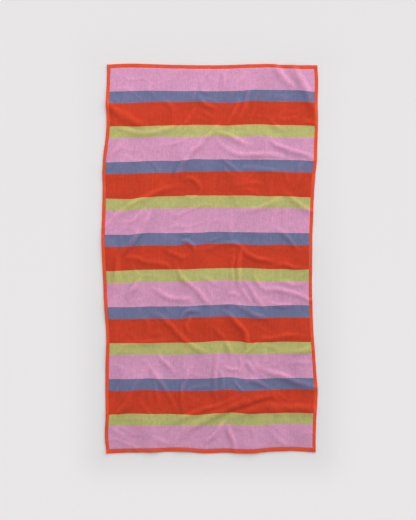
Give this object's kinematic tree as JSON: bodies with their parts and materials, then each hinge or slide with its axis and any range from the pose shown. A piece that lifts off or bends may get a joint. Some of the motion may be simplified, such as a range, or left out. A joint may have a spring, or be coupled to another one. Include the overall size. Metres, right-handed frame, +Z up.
{
  "type": "bath towel laid flat",
  "caption": "Rectangular bath towel laid open on a surface, striped pile face up, with narrow turned hems and soft slanting folds.",
  "frame": {"origin": "on the surface that the towel lies on, under the middle of its outline", "axes": "+X across the towel, +Y along it, away from a viewer who stands at its foot, +Z up through the pile face"},
  "size_m": [0.7814, 1.404, 0.0125],
  "materials": {
    "terry": "sheared cotton pile in crosswise bands of pink, pale green, orange red and grey blue, with a flat-woven orange red hem",
    "hem": "flat-woven orange red cotton, turned under twice and stitched down",
    "thread": "twisted cotton sewing thread, a little brighter than the hem"
  },
  "bodies": {
    "root": {"towel": "terry"}
  },
  "joints": []
}
